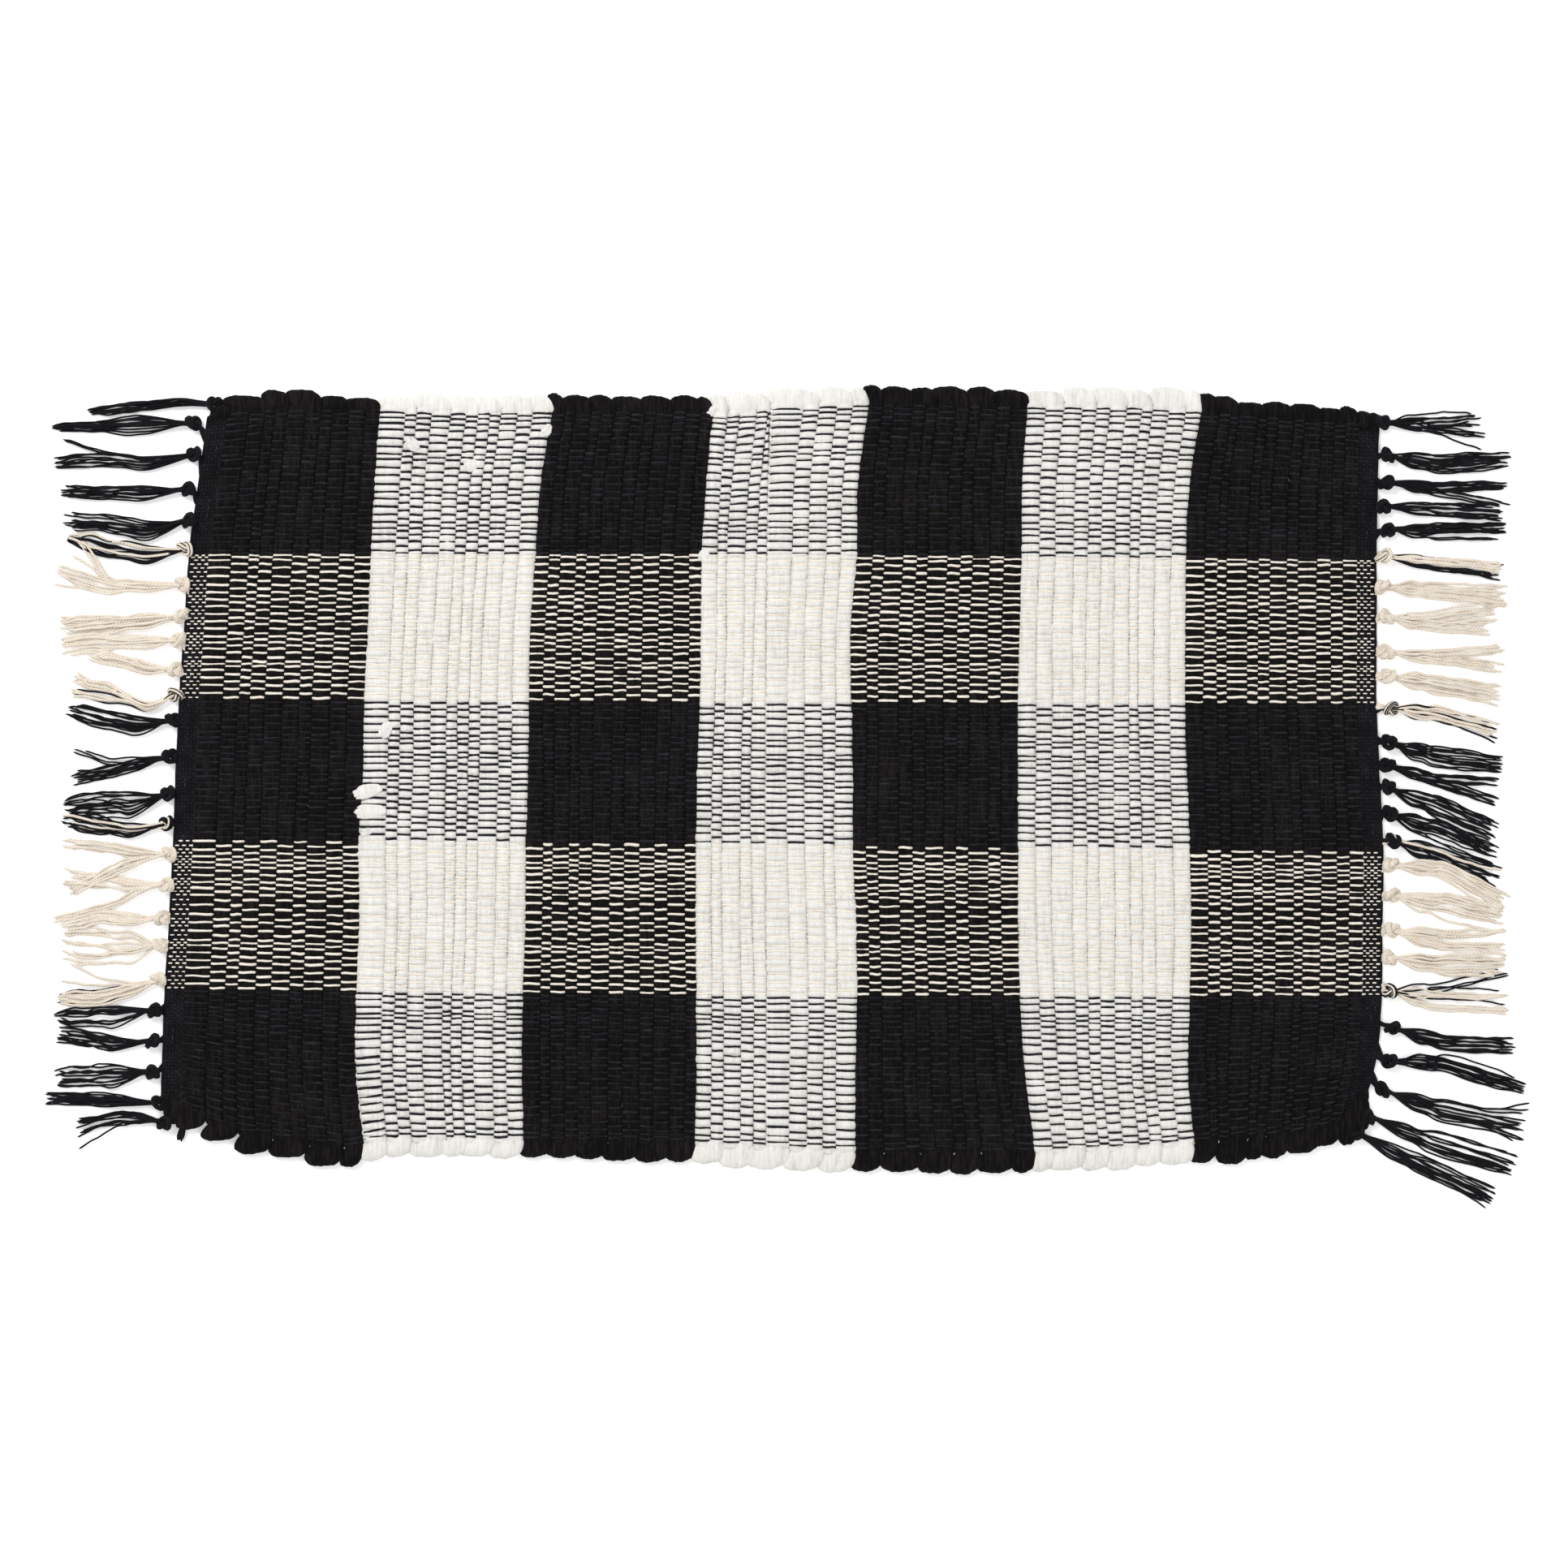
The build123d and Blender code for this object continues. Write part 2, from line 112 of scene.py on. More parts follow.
BANDS = [  # name, picks, body, slot
    ("weft_black_1", 10, "left_half", "black_rag"),
    ("weft_white_1", 11, "left_half", "white_rag"),
    ("weft_black_2", 12, "left_half", "black_rag"),
    ("weft_white_2", 10, "both", "white_rag"),
    ("weft_black_3", 11, "right_half", "black_rag"),
    ("weft_white_3", 11, "right_half", "white_rag"),
    ("weft_black_4", 12, "right_half", "black_rag"),
]
WARP_BANDS = ["black_1", "natural_1", "black_2", "natural_2", "black_3"]
ENDS = 200
PICKS = 77
CREASE = 38                      # gap line of the centre fold
CREASE_X = -14.5
HEAD = 5                         # fine picks in each heading
HEAD_PITCH = 2.35
MID_Z = 4.0
DENT = 1.75                      # half thickness of a rag where a cord presses it
PUFF = 2.2                      # extra where it swells between two cords
CORD_LIFT = 2.74

rng = np.random.default_rng(40127)


# ---------------------------------------------------------------- mesh helpers
def mesh_from(name, parts, materials):
    """One object out of (points mm, quads, material number, uv) parts."""
    pts, quads, mats, uvs, base = [], [], [], [], 0
    for p, q, m, uv in parts:
        pts.append(p)
        quads.append(q + base)
        mats.append(np.full(len(q), m, np.int32) if np.isscalar(m) else m)
        uvs.append(uv)
        base += len(p)
    p = np.concatenate(pts).astype(np.float32) * 0.001
    q = np.concatenate(quads).astype(np.int32)
    me = bpy.data.meshes.new(name)
    me.vertices.add(len(p))
    me.vertices.foreach_set("co", p.ravel())
    me.loops.add(q.size)
    me.loops.foreach_set("vertex_index", q.ravel())
    me.polygons.add(len(q))
    me.polygons.foreach_set("loop_start", np.arange(0, q.size, 4, dtype=np.int32))
    me.polygons.foreach_set("loop_total", np.full(len(q), 4, np.int32))
    me.update(calc_edges=True)
    me.polygons.foreach_set("use_smooth", np.ones(len(q), bool))
    for m in materials:
        me.materials.append(m)
    me.polygons.foreach_set("material_index", np.concatenate(mats))
    layer = me.uv_layers.new(name="Strand")
    layer.data.foreach_set("uv", np.concatenate(uvs).astype(np.float32).ravel())
    me.validate()
    ob = bpy.data.objects.new(name, me)
    bpy.context.scene.collection.objects.link(ob)
    return ob


def tube_quads(n, sides):
    """Quads of a tube of n rings, and each quad corner's ring and side."""
    r, s = np.meshgrid(np.arange(n - 1), np.arange(sides), indexing="ij")
    r, s = r.ravel(), s.ravel()
    t = (s + 1) % sides
    q = np.stack([r * sides + s, r * sides + t, (r + 1) * sides + t, (r + 1) * sides + s], 1)
    ring = np.stack([r, r, r + 1, r + 1], 1)
    side = np.stack([s, s + 1, s + 1, s], 1)
    return q, ring, side


def tubes(paths, sides, ry, rz, B=None, roll=0.0, taper=2, squash=None):
    """Tubes along paths (count, n, 3). B is the side direction of each point, worked out by
    carrying it along the path where it isn't given. Returns points, quads and uv in mm."""
    c, n, _ = paths.shape
    T = np.gradient(paths, axis=1)
    T /= np.linalg.norm(T, axis=2, keepdims=True) + 1e-9
    if B is None:
        B = np.empty_like(paths)
        b = np.cross(np.array([0.0, 0.0, 1.0]), T[:, 0])
        b /= np.linalg.norm(b, axis=1, keepdims=True) + 1e-9
        for i in range(n):
            b = b - (b * T[:, i]).sum(1, keepdims=True) * T[:, i]
            b /= np.linalg.norm(b, axis=1, keepdims=True) + 1e-9
            B[:, i] = b
    else:
        B = B - (B * T).sum(2, keepdims=True) * T
        B /= np.linalg.norm(B, axis=2, keepdims=True) + 1e-9
    N = np.cross(T, B)
    scale = np.ones((c, n, 1))
    scale[:, 0] = scale[:, -1] = 0.04
    if taper > 1:
        scale[:, -2] = 0.72
    a = np.linspace(0, 2 * np.pi, sides, endpoint=False) + roll
    ca, sa = np.cos(a), np.sin(a)
    ry = np.broadcast_to(np.asarray(ry, float), (c, n, 1)) if np.ndim(ry) else np.full((c, n, 1), ry)
    rz = np.broadcast_to(np.asarray(rz, float), (c, n, 1)) if np.ndim(rz) else np.full((c, n, 1), rz)
    P = (
        paths[:, :, None, :]
        + (B[:, :, None, :] * (ca[None, None, :, None] * (ry * scale)[..., None]))
        + (N[:, :, None, :] * (sa[None, None, :, None] * (rz * scale)[..., None]))
    )
    q, ring, side = tube_quads(n, sides)
    quads = (q[None] + (np.arange(c) * n * sides)[:, None, None]).reshape(-1, 4)
    length = np.concatenate(
        [np.zeros((c, 1)), np.cumsum(np.linalg.norm(np.diff(paths, axis=1), axis=2), axis=1)], 1
    )
    u = np.broadcast_to(side / sides, (c,) + side.shape)
    v = length[:, ring]
    uv = np.stack([u, v * 0.1], -1).reshape(-1, 2)
    return P.reshape(-1, 3), quads, uv


def hermite(x, xs, ys):
    """Smooth curve through (xs, ys[..., k]) at x, ys may have leading axes."""
    ys = np.asarray(ys, float)
    m = np.gradient(ys, xs, axis=-1)
    x = np.clip(x, xs[0], xs[-1])
    i = np.clip(np.searchsorted(xs, x, side="right") - 1, 0, len(xs) - 2)
    h = np.asarray(xs)[i + 1] - np.asarray(xs)[i]
    t = (x - np.asarray(xs)[i]) / h
    h00, h10 = 2 * t**3 - 3 * t**2 + 1, t**3 - 2 * t**2 + t
    h01, h11 = -2 * t**3 + 3 * t**2, t**3 - t**2
    return ys[..., i] * h00 + m[..., i] * h * h10 + ys[..., i + 1] * h01 + m[..., i + 1] * h * h11


def curve(x, table):
    xs, ys = np.array(table, float).T
    return np.interp(x, xs, ys)


# ---------------------------------------------------------------- the weave's map
KNOTS = np.linspace(0, 200, 11)
spacing = np.clip(1 + 0.28 * rng.standard_normal(ENDS), 0.52, 1.6)
spacing[[0, 1, 2, -3, -2, -1]] = [0.55, 0.6, 0.8, 0.8, 0.6, 0.55]   # crowded at the edges
edges = np.zeros(ENDS + 1)
for b in range(5):
    s = spacing[b * 40 : b * 40 + 40]
    edges[b * 40 + 1 : b * 40 + 41] = b * 40 + np.cumsum(s) / s.sum() * 40
CENTRES = (edges[1:] + edges[:-1]) / 2          # each end's place across the mat, 0 to 200

lines = []                                      # gap lines 0..77 at the knots
for b, share in enumerate(PICK_SHARE):
    cum = np.concatenate([[0], np.cumsum(share)]) / sum(share)
    for c in cum[: len(share)]:
        lines.append([BAND_X[k][b] * (1 - c) + BAND_X[k][b + 1] * c for k in range(11)])
lines.append([BAND_X[k][7] for k in range(11)])
lines = np.array(lines)
lines[CREASE] = lines[CREASE] * 0.25 + CREASE_X * 0.75
WAVE_V = np.linspace(0, 200, 11)
wave = np.cumsum(rng.standard_normal((PICKS + 1, 11)) * 0.4, axis=1)
wave -= wave.mean(axis=1, keepdims=True)
wave = np.clip(wave, -0.95, 0.95)
wave[CREASE] *= 0.3


def gap_line(k, v):
    """x of gap line k, -5..82, at places v across the mat."""
    j = int(np.clip(k, 0, PICKS))
    x = hermite(v, KNOTS, lines[j]) + hermite(v, WAVE_V, wave[j]) * (0.4 if j in (0, PICKS) else 1)
    if k < 0:
        x = x + k * HEAD_PITCH
    elif k > PICKS:
        x = x + (k - PICKS) * HEAD_PITCH
    return x


def place_y(x, v):
    """y of place v across the mat at x."""
    x, v = np.broadcast_arrays(np.asarray(x, float), np.asarray(v, float))
    rows = np.stack(
        [curve(x, TOP_LINE)]
        + [np.interp(x, [-400, 0, 390], r) for r in ROW_Y]
        + [curve(x, BOTTOM_LINE)]
    )
    t = np.clip(v, 0, 200) / 40
    i = np.clip(t.astype(int), 0, 4)
    f = t - i
    y = np.take_along_axis(rows, i[None], 0)[0] * (1 - f) + np.take_along_axis(rows, i[None] + 1, 0)[0] * f
    return y - np.where(v > 200, v - 200, 0) * 2.4 - np.where(v < 0, v, 0) * 2.4


def mid_z(k):
    """Height of the weave's middle at gap line k: the headings are thinner."""
    out = np.maximum(0 - k, k - PICKS)
    return np.interp(out, [-3, 0, 1, 2.5], [MID_Z, 3.9, 3.0, 2.55])


def ridge(x, v):
    """The centre fold stands up a little where the mat was folded."""
    return 1.7 * np.interp(v, [0, 60, 200], [0.5, 0.85, 1.0]) * np.exp(-(((x - CREASE_X - 0.5) / 5.5) ** 2))


def is_natural(e):
    return (np.asarray(e) // 40) % 2 == 1


# ---------------------------------------------------------------- materials
def rgb(*c):
    return tuple((x / 255 / 12.92 if x / 255 <= 0.04045 else ((x / 255 + 0.055) / 1.055) ** 2.4) for x in c) + (1.0,)


def nodes_of(name):
    m = bpy.data.materials.new(name)
    m.use_nodes = True
    nt = m.node_tree
    return m, nt, nt.nodes["Principled BSDF"]


def link(nt, a, b):
    nt.links.new(a, b)


def add(nt, kind, **values):
    n = nt.nodes.new(kind)
    for k, v in values.items():
        if k in n.inputs:
            n.inputs[k].default_value = v
        else:
            setattr(n, k, v)
    return n


def math_node(nt, op, a, b=None, clamp=False):
    n = nt.nodes.new("ShaderNodeMath")
    n.operation = op
    n.use_clamp = clamp
    for i, x in enumerate((a, b)):
        if x is None:
            continue
        if isinstance(x, (int, float)):
            n.inputs[i].default_value = x
        else:
            link(nt, x, n.inputs[i])
    return n.outputs[0]


def ramp(nt, source, stops):
    n = nt.nodes.new("ShaderNodeValToRGB")
    e = n.color_ramp.elements
    e[0].position, e[0].color = stops[0]
    e[1].position, e[1].color = stops[-1]
    for p, c in stops[1:-1]:
        x = e.new(p)
        x.color = c
    link(nt, source, n.inputs[0])
    return n.outputs[0]


def noise(nt, vector, scale, detail=3.0, rough=0.55, stretch=(1, 1, 1)):
    m = nt.nodes.new("ShaderNodeMapping")
    link(nt, vector, m.inputs["Vector"])
    m.inputs["Scale"].default_value = stretch
    n = nt.nodes.new("ShaderNodeTexNoise")
    link(nt, m.outputs[0], n.inputs["Vector"])
    n.inputs["Scale"].default_value = scale
    n.inputs["Detail"].default_value = detail
    n.inputs["Roughness"].default_value = rough
    return n.outputs["Fac"]


def rag(name, dark, mid, light, sheen, bump, rough):
    """Cut cotton strips: long pleats along the strip, fine knit across, uneven dye, and painted shade that darkens
    the colour in the pleat and crease hollows.
    """
    m, nt, bsdf = nodes_of(name)
    co = nt.nodes.new("ShaderNodeTexCoord").outputs["Object"]
    pleat = noise(nt, co, 620, 2.0, 0.5, (1, 0.11, 0.8))
    crease = noise(nt, co, 260, 3.0, 0.6, (1, 0.22, 1))
    fine = noise(nt, co, 2600, 2.0, 0.6)
    patch = noise(nt, co, 26, 2.0, 0.5)
    # pleat and crease hollows come out darker in the colour: painted shade; the patch noise adds uneven dye
    dye_and_fold_shade = math_node(nt, "ADD", math_node(nt, "MULTIPLY", pleat, 0.45), math_node(nt, "MULTIPLY", crease, 0.35))
    dye_and_fold_shade = math_node(nt, "ADD", dye_and_fold_shade, math_node(nt, "MULTIPLY", patch, 0.2))
    link(nt, ramp(nt, dye_and_fold_shade, [(0.32, dark), (0.48, mid), (0.66, light)]), bsdf.inputs["Base Color"])
    height = math_node(nt, "ADD", math_node(nt, "MULTIPLY", pleat, 0.9), math_node(nt, "MULTIPLY", crease, 0.8))
    height = math_node(nt, "ADD", height, math_node(nt, "MULTIPLY", fine, 0.12))
    b = add(nt, "ShaderNodeBump", Strength=bump, Distance=0.0009)
    link(nt, height, b.inputs["Height"])
    link(nt, b.outputs[0], bsdf.inputs["Normal"])
    link(nt, math_node(nt, "ADD", math_node(nt, "MULTIPLY", crease, 0.18), rough), bsdf.inputs["Roughness"])
    bsdf.inputs["Sheen Weight"].default_value = sheen
    bsdf.inputs["Sheen Roughness"].default_value = 0.45
    bsdf.inputs["Specular IOR Level"].default_value = 0.08
    return m


def yarn(name, dark, mid, light, tint, sheen, pitch, bump, rough, tint_share=0.0, ply_shade=0.2):
    """Cotton yarn whose two plies wind round it, with slubs and fluff; its colour has painted shade in the grooves
    between the plies and painted highlight on their crests.
    """
    m, nt, bsdf = nodes_of(name)
    tc = nt.nodes.new("ShaderNodeTexCoord")
    co = tc.outputs["Object"]
    uvn = nt.nodes.new("ShaderNodeUVMap")
    uvn.uv_map = "Strand"
    sep = nt.nodes.new("ShaderNodeSeparateXYZ")
    link(nt, uvn.outputs[0], sep.inputs[0])
    # v holds centimetres along the yarn, u is one turn round it
    phase = math_node(nt, "ADD", math_node(nt, "MULTIPLY", sep.outputs[1], 10.0 / pitch), sep.outputs[0])
    wind = math_node(nt, "ABSOLUTE", math_node(nt, "SINE", math_node(nt, "MULTIPLY", phase, math.pi * 2)))
    fluff = noise(nt, co, 1500, 3.0, 0.65)
    slub = noise(nt, co, 130, 2.0, 0.5)
    # the winding makes the colour darker in the grooves between the plies and lighter on their crests: painted shade
    # and painted highlight
    v = math_node(nt, "ADD", math_node(nt, "MULTIPLY", wind, ply_shade), math_node(nt, "MULTIPLY", fluff, 0.45))
    v = math_node(nt, "ADD", v, math_node(nt, "MULTIPLY", slub, 0.67 - ply_shade))
    colour = ramp(nt, v, [(0.22, dark), (0.52, mid), (0.85, light)])
    if tint_share:
        mix = nt.nodes.new("ShaderNodeMix")
        mix.data_type = "RGBA"
        spot = noise(nt, co, 95, 1.0, 0.4)
        link(nt, ramp(nt, spot, [(0.66, (0, 0, 0, 1)), (0.74, (tint_share,) * 3 + (1,))]), mix.inputs["Factor"])
        link(nt, colour, mix.inputs["A"])
        mix.inputs["B"].default_value = tint
        colour = mix.outputs["Result"]
    link(nt, colour, bsdf.inputs["Base Color"])
    height = math_node(nt, "ADD", wind, math_node(nt, "MULTIPLY", fluff, 0.5))
    b = add(nt, "ShaderNodeBump", Strength=bump, Distance=0.0004)
    link(nt, height, b.inputs["Height"])
    link(nt, b.outputs[0], bsdf.inputs["Normal"])
    link(nt, math_node(nt, "ADD", math_node(nt, "MULTIPLY", fluff, 0.15), rough), bsdf.inputs["Roughness"])
    bsdf.inputs["Sheen Weight"].default_value = sheen
    bsdf.inputs["Sheen Roughness"].default_value = 0.5
    bsdf.inputs["Specular IOR Level"].default_value = 0.08
    return m


M_WHITE = rag("cotton_rag_white", rgb(200, 197, 191), rgb(221, 219, 214), rgb(232, 231, 227), 0.06, 0.5, 0.8)
M_BLACK = rag("cotton_rag_black", rgb(5, 4, 4), rgb(13, 11, 11), rgb(33, 29, 29), 0.04, 0.7, 0.78)
M_NATURAL = yarn("warp_yarn_natural", rgb(190, 176, 156), rgb(232, 224, 210), rgb(245, 241, 233), rgb(226, 190, 156), 0.1, 4.4, 0.22, 0.82, 0.15, 0.12)
M_INK = yarn("warp_yarn_black", rgb(7, 6, 8), rgb(21, 19, 23), rgb(52, 51, 60), rgb(70, 76, 104), 0.05, 3.4, 0.25, 0.7, 0.0, 0.14)
M_TASSEL_N = yarn("fringe_yarn_natural", rgb(176, 160, 142), rgb(226, 214, 198), rgb(243, 235, 222), rgb(222, 190, 160), 0.15, 4.4, 0.8, 0.82, 0.15)
M_TASSEL_B = yarn("fringe_yarn_black", rgb(4, 4, 6), rgb(11, 11, 14), rgb(34, 33, 40), rgb(60, 60, 80), 0.05, 3.4, 0.7, 0.7, 0.0)
M_HEAD = yarn("heading_yarn_black", rgb(5, 5, 7), rgb(13, 12, 15), rgb(34, 33, 40), rgb(60, 60, 80), 0.04, 3.0, 0.6, 0.7, 0.0)

# ---------------------------------------------------------------- rag picks
SIDES = 12
ANG = np.linspace(0, 2 * np.pi, SIDES, endpoint=False)
SUPER = 2.3
CX = np.sign(np.cos(ANG)) * np.abs(np.cos(ANG)) ** (2 / SUPER)
CZ = np.sign(np.sin(ANG)) * np.abs(np.sin(ANG)) ** (2 / SUPER)
Q_ROWS = np.concatenate([[-2.2, -1.5, -0.75], np.sort(np.concatenate([np.arange(200), np.arange(199) + 0.28, np.arange(199) + 0.72])), [199.75, 200.5, 201.2]])
Q_V = np.interp(Q_ROWS, np.concatenate([[-2.2], np.arange(200), [201.2]]), np.concatenate([[-2.6], CENTRES, [202.6]]))


def slow(n, step, amount):
    """Slow random curve of n samples, a new value every step."""
    k = n // step + 3
    return np.interp(np.arange(n) / step, np.arange(k), rng.standard_normal(k) * amount)


def pick(i, left, right):
    """A rag pick between two gap lines, pinched wherever a cord passes over or under it."""
    n = len(Q_V)
    start = i % 2
    phi = ((Q_ROWS - start) % 2) / 2
    idx = np.floor((Q_ROWS - start) / 2).astype(int) + 3
    r_top, r_bot = rng.uniform(0.66, 1.18, 120), rng.uniform(0.75, 1.05, 120)
    top = np.clip(np.sin(np.pi * phi), 0, 1) ** 0.7 * r_top[idx]
    bot = np.clip(np.sin(np.pi * ((phi + 0.5) % 1)), 0, 1) ** 0.7 * r_bot[idx]
    swell = np.zeros(n)                                            # slubs that hide a cord
    for _ in range(rng.integers(3, 9)):
        c, s_w = rng.uniform(3, 196), rng.uniform(0.7, 2.2)
        swell = np.maximum(swell, rng.uniform(0.35, 1.0) * np.exp(-(((Q_ROWS - c) / s_w) ** 2)))
    gl, gr = left(Q_V), right(Q_V)
    w = np.maximum(gr - gl, 1.2)
    xc = (gl + gr) / 2 + slow(n, 9, 0.10) + rng.uniform(-0.38, 0.38, 120)[idx] * top
    full = np.interp(w, [2.5, 7, 12], [0.78, 1.0, 1.06])        # thin picks are flatter
    ht, hb = (DENT + PUFF * top + 1.15 * swell * (1 - 0.45 * top)) * full, (DENT + (PUFF - 0.1) * bot) * full
    wt, wb = w * 0.5 * (0.92 + 0.16 * top) * (1 + 0.07 * swell), w * 0.5 * (0.92 + 0.16 * bot)
    up = CZ >= -1e-6
    half = np.abs(CZ) < 1e-6
    wide = np.where(half[None], (w * 0.5 * 1.07 + 0.12)[:, None], np.where(up[None], wt[:, None], wb[:, None]))
    high = np.where(up[None], ht[:, None], hb[:, None])
    x = xc[:, None] + wide * CX[None]
    z = MID_Z + high * CZ[None]
    for s in range(SIDES):                                         # folds running along the strip
        r = slow(n, 14, 0.16) + slow(n, 5, 0.07)
        x[:, s] += r * CX[s]
        z[:, s] += r * CZ[s]
    ends = np.ones(n)
    ends[0] = ends[-1] = 0.05
    ends[1] = ends[-2] = 0.72
    x = xc[:, None] + (x - xc[:, None]) * ends[:, None]
    z = MID_Z + (z - MID_Z) * ends[:, None]
    y = np.repeat(place_y(xc, Q_V)[:, None], SIDES, 1)
    z = np.where(z > 7.5, 7.5 + 0.6 * np.tanh((z - 7.5) / 0.6), z)
    z = np.maximum(z, 0.05) + ridge(x, Q_V[:, None])
    P = np.stack([x, y, z], 2).reshape(-1, 3)
    q, ring, side = tube_quads(n, SIDES)
    uv = np.stack([side / SIDES, ring * 0.08], -1).reshape(-1, 2)
    return P, q[:, ::-1], uv


def loop_pillow(x0, x1, x_slant, y_in, y_out, seed, z_high=3.75):
    """Where the rag turns at the edge: a soft pillow, narrow at the weave, that leans and
    is pleated from its narrow end outwards."""
    r = np.random.default_rng(seed)
    na, nb = 64, 15
    a = np.linspace(0, 2 * np.pi, na, endpoint=False)
    b = np.linspace(-np.pi / 2 + 0.0005, np.pi / 2 - 0.0005, nb)
    A, Bb = np.meshgrid(a, b, indexing="ij")
    cb = np.cos(Bb) ** 0.78
    sb = np.sign(np.sin(Bb)) * np.abs(np.sin(Bb)) ** 0.9
    ux = np.sign(np.cos(A)) * np.abs(np.cos(A)) ** 0.92 * cb
    uy = np.sign(np.sin(A)) * np.abs(np.sin(A)) ** 0.86 * cb
    hx, hy = (x1 - x0) / 2, abs(y_out - y_in) / 2
    side = 1 if y_out > y_in else -1
    slope = (uy + 1) / 2
    groove = np.zeros_like(ux)
    for k in range(4):
        f, p = r.uniform(0.9, 1.35) * (k + 1), r.uniform(0, 6.28)
        groove += np.sin(2 * np.pi * f * ux * 0.9 + p + r.uniform(-1.4, 1.4) * slope) / (k * 0.55 + 1.0)
    groove = groove / 1.9
    rim = np.abs(cb)
    across = hx * (0.79 + 0.31 * slope ** 0.8)
    x = (x0 + x1) / 2 + ux * across * (1 + 0.02 * groove) + (slope - 0.35) * x_slant
    y = (y_in + y_out) / 2 + side * uy * hy * (1 + 0.05 * groove * rim)
    z = sb * z_high * (0.80 + 0.20 * np.sin(np.pi * np.clip(slope, 0, 1) ** 0.8))
    z = z * (1 - 0.22 * ux * ux) + 0.55 * groove * np.sign(sb) * np.abs(sb) + 0.9 * ux * np.clip(sb, 0, 1) ** 0.5
    z = np.where(z > 4.05, 4.05, z) + MID_Z - 0.1
    P = np.stack([x, y, np.maximum(z, 0.03) + ridge(x, 0.0 if side > 0 else 200.0)], 2).reshape(-1, 3)
    i, j = np.meshgrid(np.arange(na), np.arange(nb - 1), indexing="ij")
    i, j = i.ravel(), j.ravel()
    k = (i + 1) % na
    q = np.stack([i * nb + j, k * nb + j, k * nb + j + 1, i * nb + j + 1], 1)
    if side < 0:
        q = q[:, ::-1]
    uvq = np.stack([np.stack([i / na, j / nb], 1)] * 4, 1).reshape(-1, 2)
    return P, q, uvq


def tuft(x, y, z, length, width, height, angle, seed):
    """The loose end of a rag lying on the mat, torn at its tip."""
    r = np.random.default_rng(seed)
    na, nb = 56, 11
    a = np.linspace(0, 2 * np.pi, na, endpoint=False)
    b = np.linspace(-np.pi / 2 + 0.0005, np.pi / 2 - 0.0005, nb)
    A, Bb = np.meshgrid(a, b, indexing="ij")
    cb, sb = np.cos(Bb) ** 0.7, np.sin(Bb)
    ux = np.sign(np.cos(A)) * np.abs(np.cos(A)) ** 0.8 * cb
    uy = np.sign(np.sin(A)) * np.abs(np.sin(A)) ** 0.8 * cb
    torn = np.interp(A, np.linspace(0, 2 * np.pi, 41), 1 + 0.10 * r.standard_normal(41))
    groove = sum(np.sin(2 * np.pi * (k + 1) * 0.9 * uy + r.uniform(0, 6) + ux) / (k + 1) for k in range(4))
    lx = ux * length / 2 * np.where(ux < 0, torn, 1.0)
    ly = uy * width / 2 * (1 + 0.05 * groove) * (1 - 0.15 * ux)
    lz = sb * height / 2 * (1 + 0.22 * groove)
    c, s_ = math.cos(angle), math.sin(angle)
    top = z + lz
    top = np.where(top > 7.6, 7.6 + 0.85 * np.tanh((top - 7.6) / 0.85), np.maximum(top, 0.05))   # pressed flat
    P = np.stack([x + lx * c - ly * s_, y + lx * s_ + ly * c, top], 2).reshape(-1, 3)
    i, j = np.meshgrid(np.arange(na), np.arange(nb - 1), indexing="ij")
    i, j = i.ravel(), j.ravel()
    k = (i + 1) % na
    q = np.stack([i * nb + j, k * nb + j, k * nb + j + 1, i * nb + j + 1], 1)
    uvq = np.stack([np.stack([i / na, j / nb], 1)] * 4, 1).reshape(-1, 2)
    return P, q, uvq


# loose rag ends: band, x, y, z, length, width, height, angle
TUFTS = [
    ("weft_white_1", -279.5, -7.0, 7.1, 19.0, 9.2, 3.4, 0.22),
    ("weft_white_1", -278.0, -20.5, 7.0, 21.0, 9.6, 3.6, 0.05),
    ("weft_white_1", -281.0, -34.5, 6.6, 9.0, 6.0, 3.0, 0.4),
    ("weft_white_1", -268.0, 34.0, 7.0, 12.0, 8.0, 2.8, 1.1),
    ("weft_white_1", -250.0, 223.5, 6.5, 11.0, 8.5, 3.4, -0.6),
    ("weft_white_1", -211.0, 210.0, 6.7, 10.5, 8.0, 3.2, 0.2),
    ("weft_white_1", -161.0, 233.5, 6.3, 9.0, 7.0, 3.2, 0.9),
    ("weft_white_2_left", -50.5, 246.5, 6.2, 10.0, 5.5, 3.0, 0.6),
    ("weft_white_2_left", -44.0, 250.5, 5.6, 7.0, 5.0, 2.8, 1.2),
    ("weft_white_2_left", -56.0, 150.0, 6.4, 8.0, 8.5, 3.0, 1.4),
    ("weft_black_1", -404.5, -234.5, 2.6, 12.0, 5.0, 3.6, 1.3),
]


# the rag's ends tucked over the headings at the corners: band, x0, x1, slant, y inside and outside
# (None takes the top edge, less the last number)
CORNERS = [
    ("weft_black_1", -385.0, -369.0, -1.5, None, 2.2),
    ("weft_black_1", -417.0, -405.0, 1.0, -207.0, -229.0),
    ("weft_black_1", -408.0, -393.0, -1.0, -209.0, -231.5),
    ("weft_black_4", 376.0, 388.0, 1.0, None, 1.0),
    ("weft_black_4", 384.0, 393.8, 1.0, None, 1.8),
    ("weft_black_4", 365.5, 379.5, -1.0, -217.0, -243.0),
    ("weft_black_4", 374.0, 388.0, -1.5, -208.0, -235.0),
]


